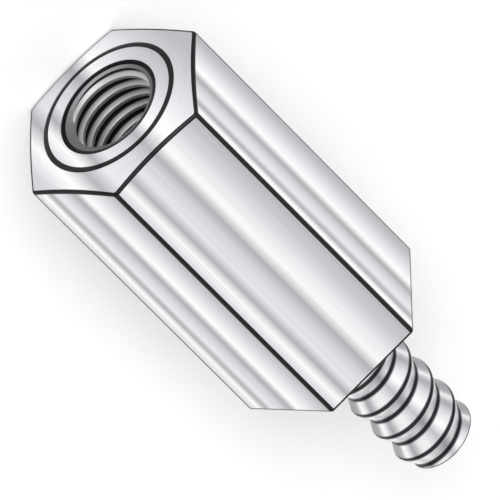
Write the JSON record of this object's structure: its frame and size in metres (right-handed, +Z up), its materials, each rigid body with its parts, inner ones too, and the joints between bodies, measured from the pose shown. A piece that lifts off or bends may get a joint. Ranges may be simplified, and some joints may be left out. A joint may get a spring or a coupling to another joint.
{
  "type": "hex standoff",
  "caption": "Male-female hexagonal standoff turned from bar, with a tapped hole in one end and a threaded stud on the other.",
  "frame": {"origin": "centre of the shoulder, on the axis, where the hexagon ends and the stud begins", "axes": "+X along the axis, out of the shoulder towards the stud's tip; +Z up, square to the flat on top while it lies on the opposite flat; +Y across two corners"},
  "size_m": [0.019, 0.0072, 0.0064],
  "materials": {
    "metal": "bright drawn flats with turned ends"
  },
  "bodies": {
    "root": {"standoff": "metal"}
  },
  "joints": []
}
